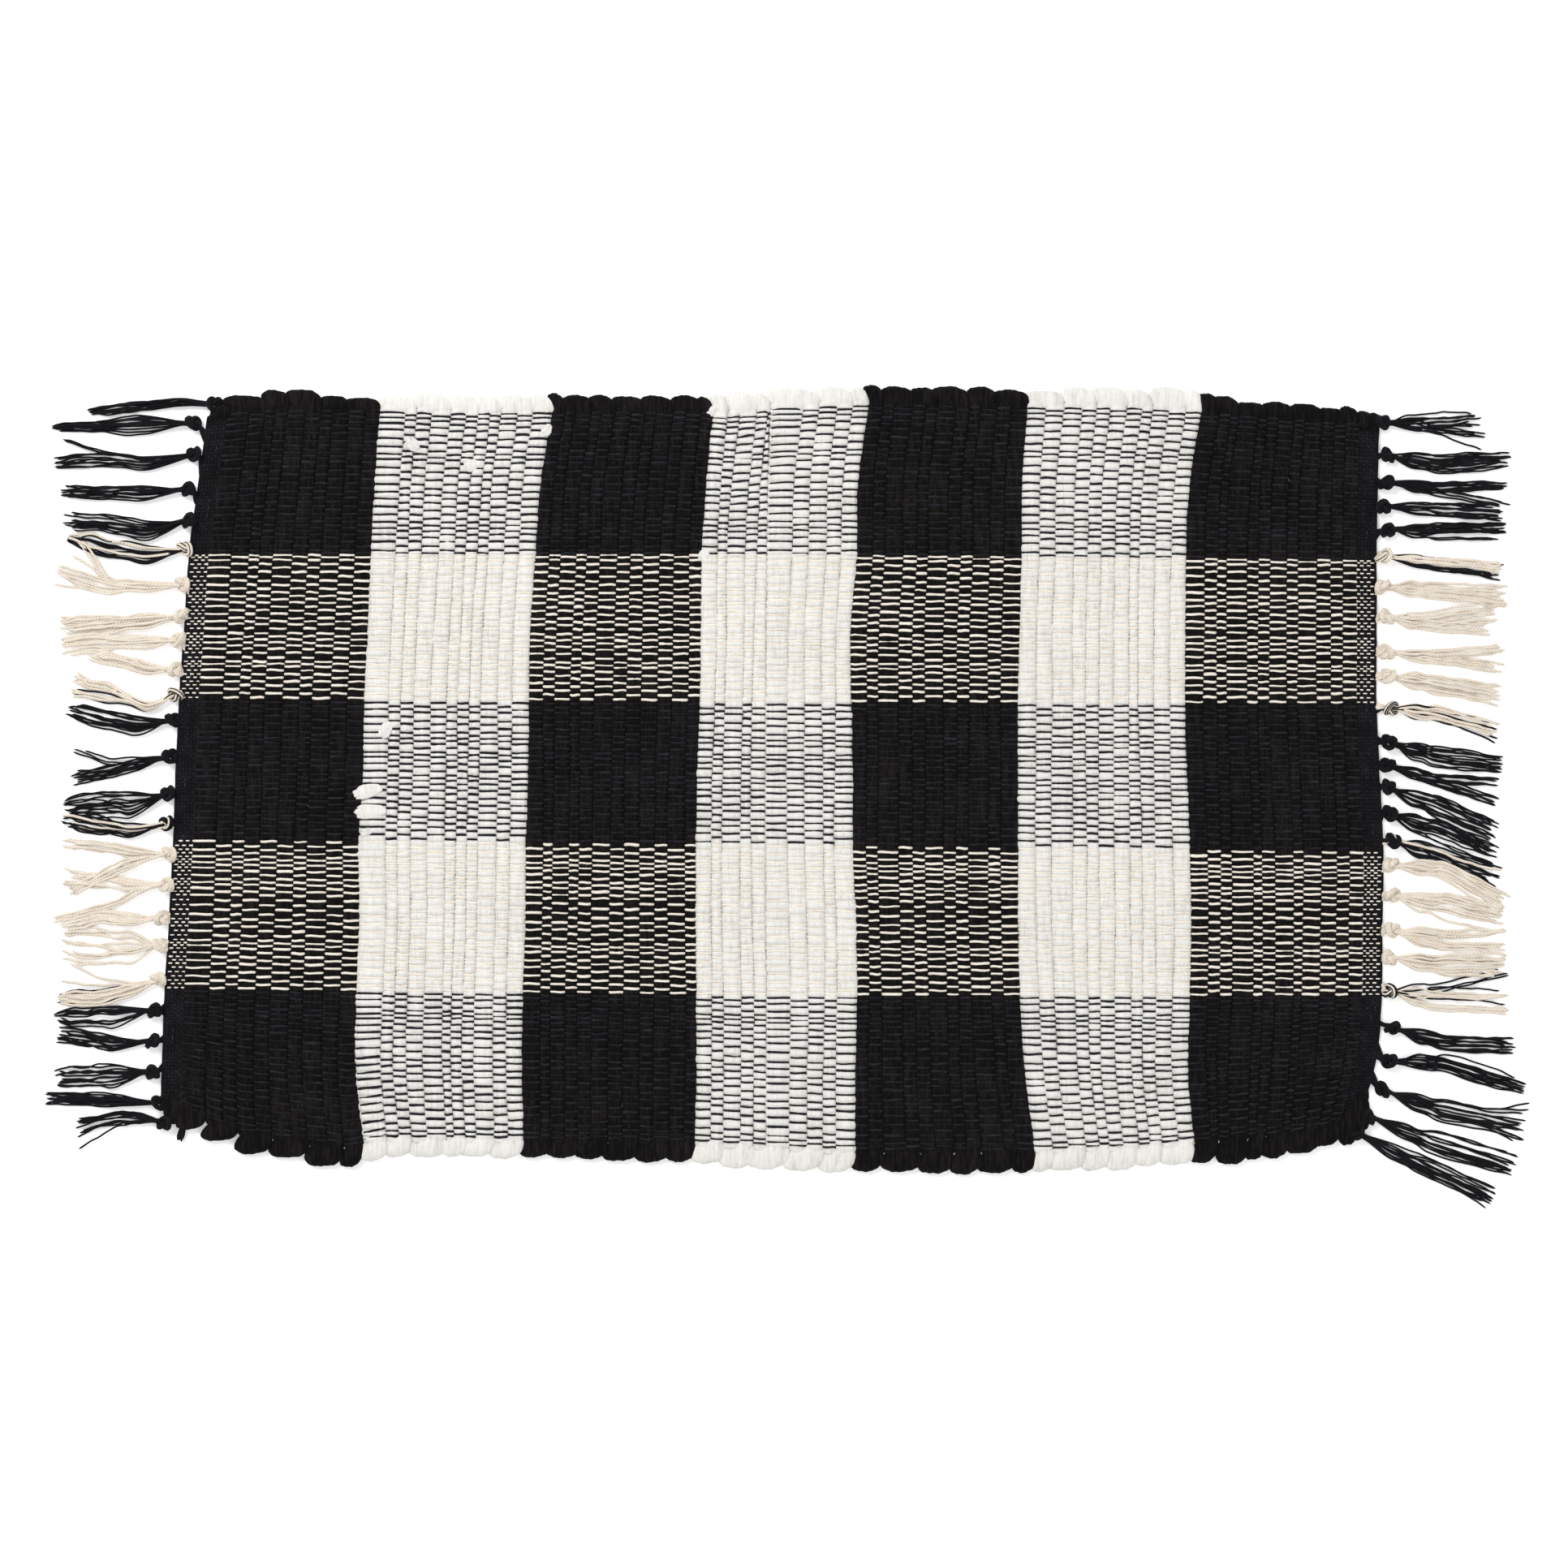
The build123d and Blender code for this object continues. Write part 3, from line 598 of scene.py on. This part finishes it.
def band_loops(first, count, whole=True):
    """(x0, x1, side, number) of the turning loops of picks first .. first + count - 1."""
    made = []
    for side, v, shift in ((1, 0.0, 0), (-1, 200.0, 1)):
        i = first
        if (first + shift) % 2 and side < 0 or (side > 0 and first % 2):
            groups = [(i, i)]
            i += 1
        else:
            groups = []
        while i < first + count:
            j = min(i + 1, first + count - 1)
            groups.append((i, j))
            i = j + 1
        for g in groups:
            x0 = float(gap_line(g[0], np.array([v]))[0])
            x1 = float(gap_line(g[1] + 1, np.array([v]))[0])
            made.append((x0, x1, side, g[0]))
    return made


def band_mesh(name, first, count, material, loops):
    parts = []
    for i in range(first, first + count):
        P, q, uv = pick(i, lambda v, i=i: gap_line(i, v), lambda v, i=i: gap_line(i + 1, v))
        parts.append((P, q, 0, uv))
    for x0, x1, side, g in loops:
        xm = (x0 + x1) / 2
        if side > 0:
            y_in, y_out = curve(xm, TOP_LINE) - 2.0, curve(xm, TOP_OUTLINE) + 0.9
        else:
            y_in, y_out = curve(xm, BOTTOM_LINE) + 2.0, curve(xm, BOTTOM_OUTLINE) - 0.9
        r = np.random.default_rng(900 + g * 2 + (side > 0))
        y_out += side * r.uniform(-1.6, 1.4)
        wide = r.uniform(1.0, 2.6)
        P, q, uv = loop_pillow(x0 - wide, x1 + wide, -r.uniform(3.5, 7.5), y_in, y_out, 5000 + g * 2 + side, r.uniform(3.2, 4.0))
        parts.append((P, q, 0, uv))
    for band, x0, x1, slant, y_in, y_out in CORNERS:
        if band == name.replace("rag_", ""):
            xm = (x0 + x1) / 2
            if y_in is None:
                y_in, y_out = curve(xm, TOP_LINE) - 4.0, curve(xm, TOP_OUTLINE) - y_out
            P, q, uv = loop_pillow(x0, x1, slant, y_in, y_out, 77 + int(abs(x0)), 3.4)
            parts.append((P, q, 0, uv))
    for t in TUFTS:
        if t[0] == name.replace("rag_", ""):
            P, q, uv = tuft(*t[1:], 31 + int(abs(t[1]) * 7))
            parts.append((P, q, 0, uv))
    return mesh_from(name, parts, [material])


first = 0
for name, count, body, finish in BANDS:
    material = M_BLACK if "black" in name else M_WHITE
    made = band_loops(first, count)
    if body == "both":
        for part, a, n in (("left", first, CREASE - first), ("right", CREASE, first + count - CREASE)):
            mine = [l for l in made if (l[3] < CREASE) == (part == "left")]
            ob = band_mesh(f"rag_{name}_{part}", a, n, material, mine)
            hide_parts(f"{name}_{part}")
            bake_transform(ob)
    else:
        ob = band_mesh(f"rag_{name}", first, count, material, made)
        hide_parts(name)
        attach(ob, body)
    first += count

# ---------------------------------------------------------------- warp cords
T_CROSS = np.array([0.0, 0.09, 0.28, 0.5, 0.72, 0.91])
P_CROSS = np.array([0.0, 0.74, 0.96, 1.0, 0.96, 0.74])


def warp_paths(e_list, k0, k1):
    """Paths of ends from gap line k0 to k1, six points to each crossing."""
    v = CENTRES[e_list]
    ks = np.arange(k0, k1 + 1)
    G = np.stack([gap_line(k, v) for k in ks], 1)                  # ends x lines
    n = len(ks) - 1
    t = T_CROSS[None, None]
    X = G[:, :-1, None] * (1 - t) + G[:, 1:, None] * t
    over = np.where((np.asarray(e_list)[:, None] + ks[None, :-1]) % 2 == 0, 1.0, -1.0)
    main = (ks[:-1] >= 0) & (ks[:-1] < PICKS)
    natural = is_natural(e_list)
    lift = np.where(main[None], np.where(natural[:, None], CORD_LIFT + 0.16, CORD_LIFT + 0.10), 1.0)
    on_white = np.array([any(a <= k < b for a, b in ((10, 21), (33, 43), (54, 65))) for k in ks[:-1]])
    lift = lift - 0.34 * (on_white[None] & natural[:, None])       # they sink into the white rag
    lift = lift * rng.uniform(0.93, 1.05, over.shape)
    zk = mid_z(ks.astype(float))
    Zm = zk[None, :-1, None] * (1 - t) + zk[None, 1:, None] * t
    Z = Zm + (over * lift)[:, :, None] * P_CROSS[None, None]
    V = np.repeat(v[:, None, None], n, 1)
    Y = place_y(X, np.broadcast_to(V, X.shape))
    bow = rng.uniform(-0.42, 0.42, over.shape) * main[None]
    tilt = rng.uniform(-0.30, 0.30, over.shape) * main[None]
    Y = Y + bow[:, :, None] * np.sin(np.pi * t) + tilt[:, :, None] * np.sin(2 * np.pi * t)
    Z = Z + ridge(X, np.broadcast_to(V, X.shape))
    path = np.stack([X, Y, Z], -1).reshape(len(v), -1, 3)
    zk = zk + ridge(G[:, -1], v)[0] * (ks == CREASE)
    last = np.stack([G[:, -1], place_y(G[:, -1], v), np.full(len(v), zk[-1])], -1)[:, None]
    return np.concatenate([path, last], 1)


HALVES = {"left": (-HEAD, CREASE, "left_half"), "right": (CREASE, PICKS + HEAD, "right_half")}
for half, (k0, k1, body) in HALVES.items():
    for b, band in enumerate(WARP_BANDS):
        e_list = np.arange(b * 40, b * 40 + 40)
        paths = warp_paths(e_list, k0, k1)
        natural = band.startswith("natural")
        along = np.zeros_like(paths)
        along[..., 1] = 1
        n = paths.shape[1]
        ry = np.full((1, n, 1), 0.86 if natural else 0.80)
        rz = np.full((1, n, 1), 0.70 if natural else 0.62)
        ring_k = k0 + np.arange(n) / len(T_CROSS)
        fine = np.where((ring_k < -0.2) | (ring_k > PICKS + 0.2), 0.55, 1.0)  # beaten closer in the headings
        each = 1 + 0.13 * rng.standard_normal((40, n // len(T_CROSS) + 1)).repeat(len(T_CROSS), 1)[:, :n]
        arch = 0.86 + 0.16 * np.tile(P_CROSS, n // len(T_CROSS) + 1)[:n]      # thickest mid-crossing
        if not natural:                                                       # drawn thinner in the later white bands
            late = ((ring_k >= 33) & (ring_k < 43)) | ((ring_k >= 54) & (ring_k < 65))
            ry = ry * np.where(late, 0.84, 1.0)[None, :, None]
        ry = ry * (fine * arch)[None, :, None] * np.clip(each, 0.7, 1.3)[:, :, None]
        rz = rz * np.where(fine < 1, 0.8, 1.0)[None, :, None] * np.ones((40, 1, 1))
        P, q, uv = tubes(paths, 6, ry, rz, B=along, taper=1)
        ob = mesh_from(f"cords_{band}_{half}", [(P, q, 0, uv)], [M_NATURAL if natural else M_INK])
        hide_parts(f"warp_{band}_{half}")
        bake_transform(ob)

# ---------------------------------------------------------------- headings
head_q = np.concatenate([[-0.5], np.sort(np.concatenate([np.arange(200), np.arange(199) + 0.5])), [199.5]])
head_v = np.interp(head_q, np.arange(-1, 201), np.concatenate([[-0.5], CENTRES, [200.5]]))
for half, ks, body in (("left", range(-HEAD, 0), "left_half"), ("right", range(PICKS, PICKS + HEAD), "right_half")):
    paths = []
    for k in ks:
        x = (gap_line(k, head_v) + gap_line(k + 1, head_v)) / 2
        zc = (mid_z(float(k)) + mid_z(float(k + 1))) / 2
        phase = (head_q + k) % 2                                   # 0 where a cord passes over
        z = zc - 0.42 * np.cos(np.pi * phase)
        paths.append(np.stack([x + slow(len(x), 7, 0.06), place_y(x, head_v), z], 1))
    edge = -HEAD if half == "left" else PICKS + HEAD
    out = -1 if half == "left" else 1
    x = gap_line(edge, head_v) + out * 0.75
    paths.append(np.stack([x + slow(len(x), 6, 0.12), place_y(x, head_v), 2.35 + slow(len(x), 4, 0.12)], 1))
    paths = np.array(paths)
    along = np.zeros_like(paths)
    along[..., 0] = 1
    P, q, uv = tubes(paths, 8, 1.2, 1.02, B=along, taper=1)
    ob = mesh_from(f"heading_weave_{half}", [(P, q, 0, uv)], [M_HEAD])
    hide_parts(f"heading_{half}")
    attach(ob, body)

# ---------------------------------------------------------------- fringe
KNOT_PATH = np.array(KNOT)


def spline(points, n):
    """n points evenly along a Catmull-Rom curve through points."""
    p = np.asarray(points, float)
    keep = np.concatenate([[True], np.linalg.norm(np.diff(p, axis=0), axis=1) > 0.05])
    p = p[keep]
    e = np.vstack([2 * p[0] - p[1], p, 2 * p[-1] - p[-2]])
    t = np.linspace(0, 1, 8, endpoint=False)[:, None]
    segs = []
    for i in range(1, len(e) - 2):
        a, b, c, d = e[i - 1], e[i], e[i + 1], e[i + 2]
        segs.append(0.5 * (2 * b + (c - a) * t + (2 * a - 5 * b + 4 * c - d) * t**2 + (3 * b - a - 3 * c + d) * t**3))
    s = np.vstack(segs + [e[-2][None]])
    L = np.concatenate([[0], np.cumsum(np.linalg.norm(np.diff(s, axis=0), axis=1))])
    q = np.linspace(0, L[-1], n)
    return np.stack([np.interp(q, L, s[:, k]) for k in range(3)], 1)


def disc_places(n, r):
    """n places spread over a disc."""
    k = np.arange(n)
    rad = np.sqrt((k + 0.5) / n) * r
    a = k * 2.39996
    return np.stack([rad * np.cos(a), rad * np.sin(a)], 1)


N_STRAND = 118


def tassel(side, knot, bunches, ends, share, seed):
    """Strand paths of one tassel, and which of them are natural."""
    r = np.random.default_rng(seed)
    out = -1.0 if side == "left" else 1.0
    k_line = -HEAD if side == "left" else PICKS + HEAD
    K = np.array([knot[0], knot[1], 0.0])
    first_point = np.array([bunches[0][1][0][0], bunches[0][1][0][1], 0.0])
    d = first_point - K
    d /= np.linalg.norm(d)
    lat = np.array([-d[1], d[0], 0.0])
    up = np.array([0.0, 0.0, 1.0])
    n_nat, n_blk = round(11.5 * share), round(14 * (1 - share))
    total = n_nat + n_blk
    at_end = np.interp(np.linspace(0, 1, total), [0, 1], [ends[0], ends[-1]])
    kinds = [True] * n_nat + [False] * n_blk
    if share < 1 and is_natural(ends[-1]) or share <= 0.5 and is_natural(min(ends[-1] + 6, 199)):
        kinds = kinds[::-1]
    strands = list(zip(at_end, kinds))                             # (place at the edge, natural)
    n = len(strands)
    Rb = 1.66 * (total / 12) ** 0.25
    K[2] = 0.15 + 0.80 * Rb * 2.97
    roll = r.uniform(-0.9, 0.9) + (math.pi if r.random() < 0.5 else 0)
    hand = 1 if r.random() < 0.5 else -1
    loc = KNOT_PATH * Rb * np.array([0.92, 1, hand])
    y = loc[:, 1] * math.cos(roll) - loc[:, 2] * math.sin(roll)
    z = loc[:, 1] * math.sin(roll) + loc[:, 2] * math.cos(roll)
    centre = K + loc[:, :1] * d + y[:, None] * lat + (z * 0.80)[:, None] * up
    T = np.gradient(centre, axis=0)
    T /= np.linalg.norm(T, axis=1, keepdims=True)
    b = np.cross(up, T[0])
    b /= np.linalg.norm(b)
    Bs = []
    for i in range(len(T)):
        b = b - b @ T[i] * T[i]
        b /= np.linalg.norm(b)
        Bs.append(b.copy())
    Bs = np.array(Bs)
    Ns = np.cross(T, Bs)
    spots = disc_places(n, Rb * 0.86)
    # order the strands so that each bunch gets its share
    order = r.permutation(n)
    if len(bunches) > 1:
        order = np.argsort([strands[j][0] + r.uniform(-1.5, 1.5) for j in range(n)])
    marks = np.cumsum([s for s, _ in bunches]) * n
    stations = np.empty(n)                                          # spread each bunch across its width
    which = np.minimum(np.searchsorted(marks, np.arange(n) + 0.5), len(bunches) - 1)
    for g in range(len(bunches)):
        m = np.nonzero(which == g)[0]
        stations[m] = r.permutation(np.linspace(-1, 1, len(m))) if len(m) > 1 else r.uniform(-0.5, 0.5, len(m))
    paths, natural = [], []
    for place, j in enumerate(order):
        e, nat = strands[j]
        g = int(min(np.searchsorted(marks, place + 0.5), len(bunches) - 1))
        pts = bunches[g][1]
        v = np.array([np.interp(e, np.arange(ENDS), CENTRES)])
        x_out = float(gap_line(k_line, v)[0])
        y_e = float(place_y(np.array([x_out]), v)[0]) + (r.uniform(-0.5, 0.5) if j else 0)
        zc = float(mid_z(float(k_line)))
        o = spots[j]
        ring = centre + o[0] * Bs + o[1] * Ns
        ring[:, 2] = np.maximum(ring[:, 2], 0.7)
        y_in = y_e + (knot[1] - y_e) * 0.42                       # gathers under the last pick
        line = [np.array([x_out - out * 4.2, y_e, 1.0]), np.array([x_out - out * 0.6, y_in, 1.1])]
        gap = (ring[0] - line[1]) @ np.array([out, 0, 0])
        if gap > 2.6:
            line.append(np.array([x_out + out * 1.2, y_in + (knot[1] - y_in) * 0.35, 1.9 + r.uniform(-0.5, 0.8)]))
        line += list(ring[::2])
        u = float(stations[place])
        layer = r.uniform(0, 1)
        rad = 0.96 if nat else 0.66
        E = ring[-1]
        line.append(E + d * 1.2 + np.array([0, 0, -0.2]))
        prev = K[:2]
        L_pts = len(pts)
        for i, (px, py, hw) in enumerate(pts):
            p = np.array([px, py])
            if i == L_pts - 1:
                dirn = p - np.array(pts[i - 1][:2])
            else:
                dirn = np.array(pts[i + 1][:2]) - prev
            dirn /= np.linalg.norm(dirn)
            n2 = np.array([-dirn[1], dirn[0]])
            u = np.clip(0.93 * u + 0.26 * r.uniform(-1, 1), -1.05, 1.05)
            off = u * max(hw * 1.12 - rad, 0.2)
            q = p + n2 * off
            if i == L_pts - 1:
                q = q - dirn * (r.uniform(0, 1) ** 1.6 * 9.0 - 1.0)
                zz = rad + 0.1 + 1.2 * layer * (1 - abs(u))
            else:
                zz = rad + 0.1 + (3.4 if i == 0 else 2.6) * layer * (1 - 0.7 * abs(u)) + (1.2 if i == 0 else 0)
            line.append(np.array([q[0], q[1], zz]))
            if i < L_pts - 1 and L_pts <= 3:
                nx = np.array(pts[i + 1][:2])
                m = (q + nx) / 2 + n2 * (off * 0.5 + r.uniform(-0.9, 0.9))
                line.append(np.array([m[0], m[1], rad + 0.2 + 2.0 * layer]))
            prev = p
        path = spline(line, N_STRAND)
        s = np.linspace(0, 1, N_STRAND)
        free = np.clip((s - 0.5) * 4, 0, 1)
        wob = np.sin(s * r.uniform(28, 44) + r.uniform(0, 6.28)) * 0.28 + np.sin(s * r.uniform(60, 90) + r.uniform(0, 6.28)) * 0.10
        path[:, :2] += (free * wob)[:, None] * lat[:2]
        path[:, 2] = np.maximum(path[:, 2] + free * 0.12 * np.sin(s * 70 + seed), rad * 0.95)
        paths.append(path)
        natural.append(nat)
    return np.array(paths), np.array(natural)


def edge_ends(side, table):
    """The ends that each tassel gathers: those nearest to its knot."""
    k_line = -HEAD if side == "left" else PICKS + HEAD
    x = gap_line(k_line, CENTRES)
    y = place_y(x, CENTRES)
    if side == "right":                                            # the last knots sit round the corner
        ky = np.array([t[0][1] for t in table])
    else:
        ky = np.array([t[0][1] for t in table])
    even = np.linspace(0, len(table), ENDS, endpoint=False).astype(int)
    near = np.array([int(np.argmin(np.abs(ky - yy))) for yy in y])
    near = np.maximum.accumulate(near)
    blend = np.clip(np.round(0.5 * near + 0.5 * even), 0, len(table) - 1).astype(int)
    blend = np.maximum.accumulate(blend)
    groups = [list(np.nonzero(blend == i)[0]) for i in range(len(table))]
    for i, g in enumerate(groups):                                 # nobody goes without
        if len(g) < 4:
            j = i - 1 if i and (i == len(groups) - 1 or len(groups[i - 1]) > len(groups[i + 1])) else i + 1
            need = 6 - len(g)
            if j < i:
                groups[i] = groups[j][-need:] + g
                groups[j] = groups[j][:-need]
            else:
                groups[i] = g + groups[j][:need]
                groups[j] = groups[j][need:]
    return groups


MIXED = {"left": {5: 0.22, 10: 0.78, 14: 0.15, 19: 0.8}, "right": {5: 0.42, 10: 0.62, 15: 0.12, 20: 0.62}}
SPLITS = {"left": [6, 5, 4, 5, 5], "right": [6, 5, 5, 5, 5]}
for side, table, body in (("left", LEFT_TASSELS, "left_half"), ("right", RIGHT_TASSELS, "right_half")):
    groups = edge_ends(side, table)
    at = 0
    for band, count in zip(WARP_BANDS, SPLITS[side]):
        parts = []
        for j in range(at, at + count):
            knot, bunches = table[j]
            share = MIXED[side].get(j, 1.0 if band.startswith("natural") else 0.0)
            paths, natural = tassel(side, knot, bunches, groups[j], share, 7000 + j + (500 if side == "right" else 0))
            for nat in (False, True):
                sel = paths[natural == nat]
                if len(sel):
                    rad = 0.96 if nat else 0.66
                    P, q, uv = tubes(sel, 6, rad, rad * 0.94)
                    parts.append((P, q, 1 if nat else 0, uv))
        at += count
        ob = mesh_from(f"fringe_{side}_{band}", parts, [M_TASSEL_B, M_TASSEL_N])
        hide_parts(f"tassels_{side}_{band}")
        if side == "left":
            o = np.array([-0.9981, 0.0617, 0.0])
            p = np.array([-404.2, 0.0, 0.0])
        else:
            o = np.array([1.0, 0.0, 0.0])
            p = np.array([394.2, 0.0, 0.0])
        s, e = (p - o * 3.0) * 0.001, (p + o * 2.5) * 0.001
        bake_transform(ob)

# ---------------------------------------------------------------- floor, light, camera
floor_me = bpy.data.meshes.new("floor")
s = 4.0
floor_me.from_pydata([(-s, -s, 0), (s, -s, 0), (s, s, 0), (-s, s, 0)], [], [(0, 1, 2, 3)])
floor = bpy.data.objects.new("floor", floor_me)
bpy.context.scene.collection.objects.link(floor)
m, nt, bsdf = nodes_of("floor_white")
bsdf.inputs["Base Color"].default_value = (0.93, 0.93, 0.93, 1)
bsdf.inputs["Roughness"].default_value = 0.9
bsdf.inputs["Specular IOR Level"].default_value = 0.1
bsdf.inputs["Emission Color"].default_value = (1, 1, 1, 1)
bsdf.inputs["Emission Strength"].default_value = 0.28
floor_me.materials.append(m)

world = bpy.data.worlds.new("studio")
bpy.context.scene.world = world
world.use_nodes = True
world.node_tree.nodes["Background"].inputs[0].default_value = (1, 1, 1, 1)
world.node_tree.nodes["Background"].inputs[1].default_value = 0.62


def area_light(name, where, target, size, power):
    data = bpy.data.lights.new(name, "AREA")
    data.shape = "DISK"
    data.size = size
    data.energy = power
    ob = bpy.data.objects.new(name, data)
    ob.location = where
    ob.rotation_euler = (Vector(target) - Vector(where)).to_track_quat("-Z", "Y").to_euler()
    bpy.context.scene.collection.objects.link(ob)
    return ob


area_light("key", (-1.5, 1.9, 2.6), (0, 0, 0), 1.6, 75)
area_light("fill", (1.9, -1.4, 2.4), (0, 0, 0), 2.4, 28)

cam_data = bpy.data.cameras.new("camera")
cam_data.lens = 85
cam_data.sensor_width = 36
cam_data.clip_end = 50
cam = bpy.data.objects.new("camera", cam_data)
VIEW_WIDTH = 1.0443
cam.location = (-0.0030, -0.0022, VIEW_WIDTH * 85 / 36 + 0.005)
cam.rotation_euler = (0, 0, 0)
bpy.context.scene.collection.objects.link(cam)
bpy.context.scene.camera = cam
bpy.context.scene.view_settings.view_transform = "Standard"
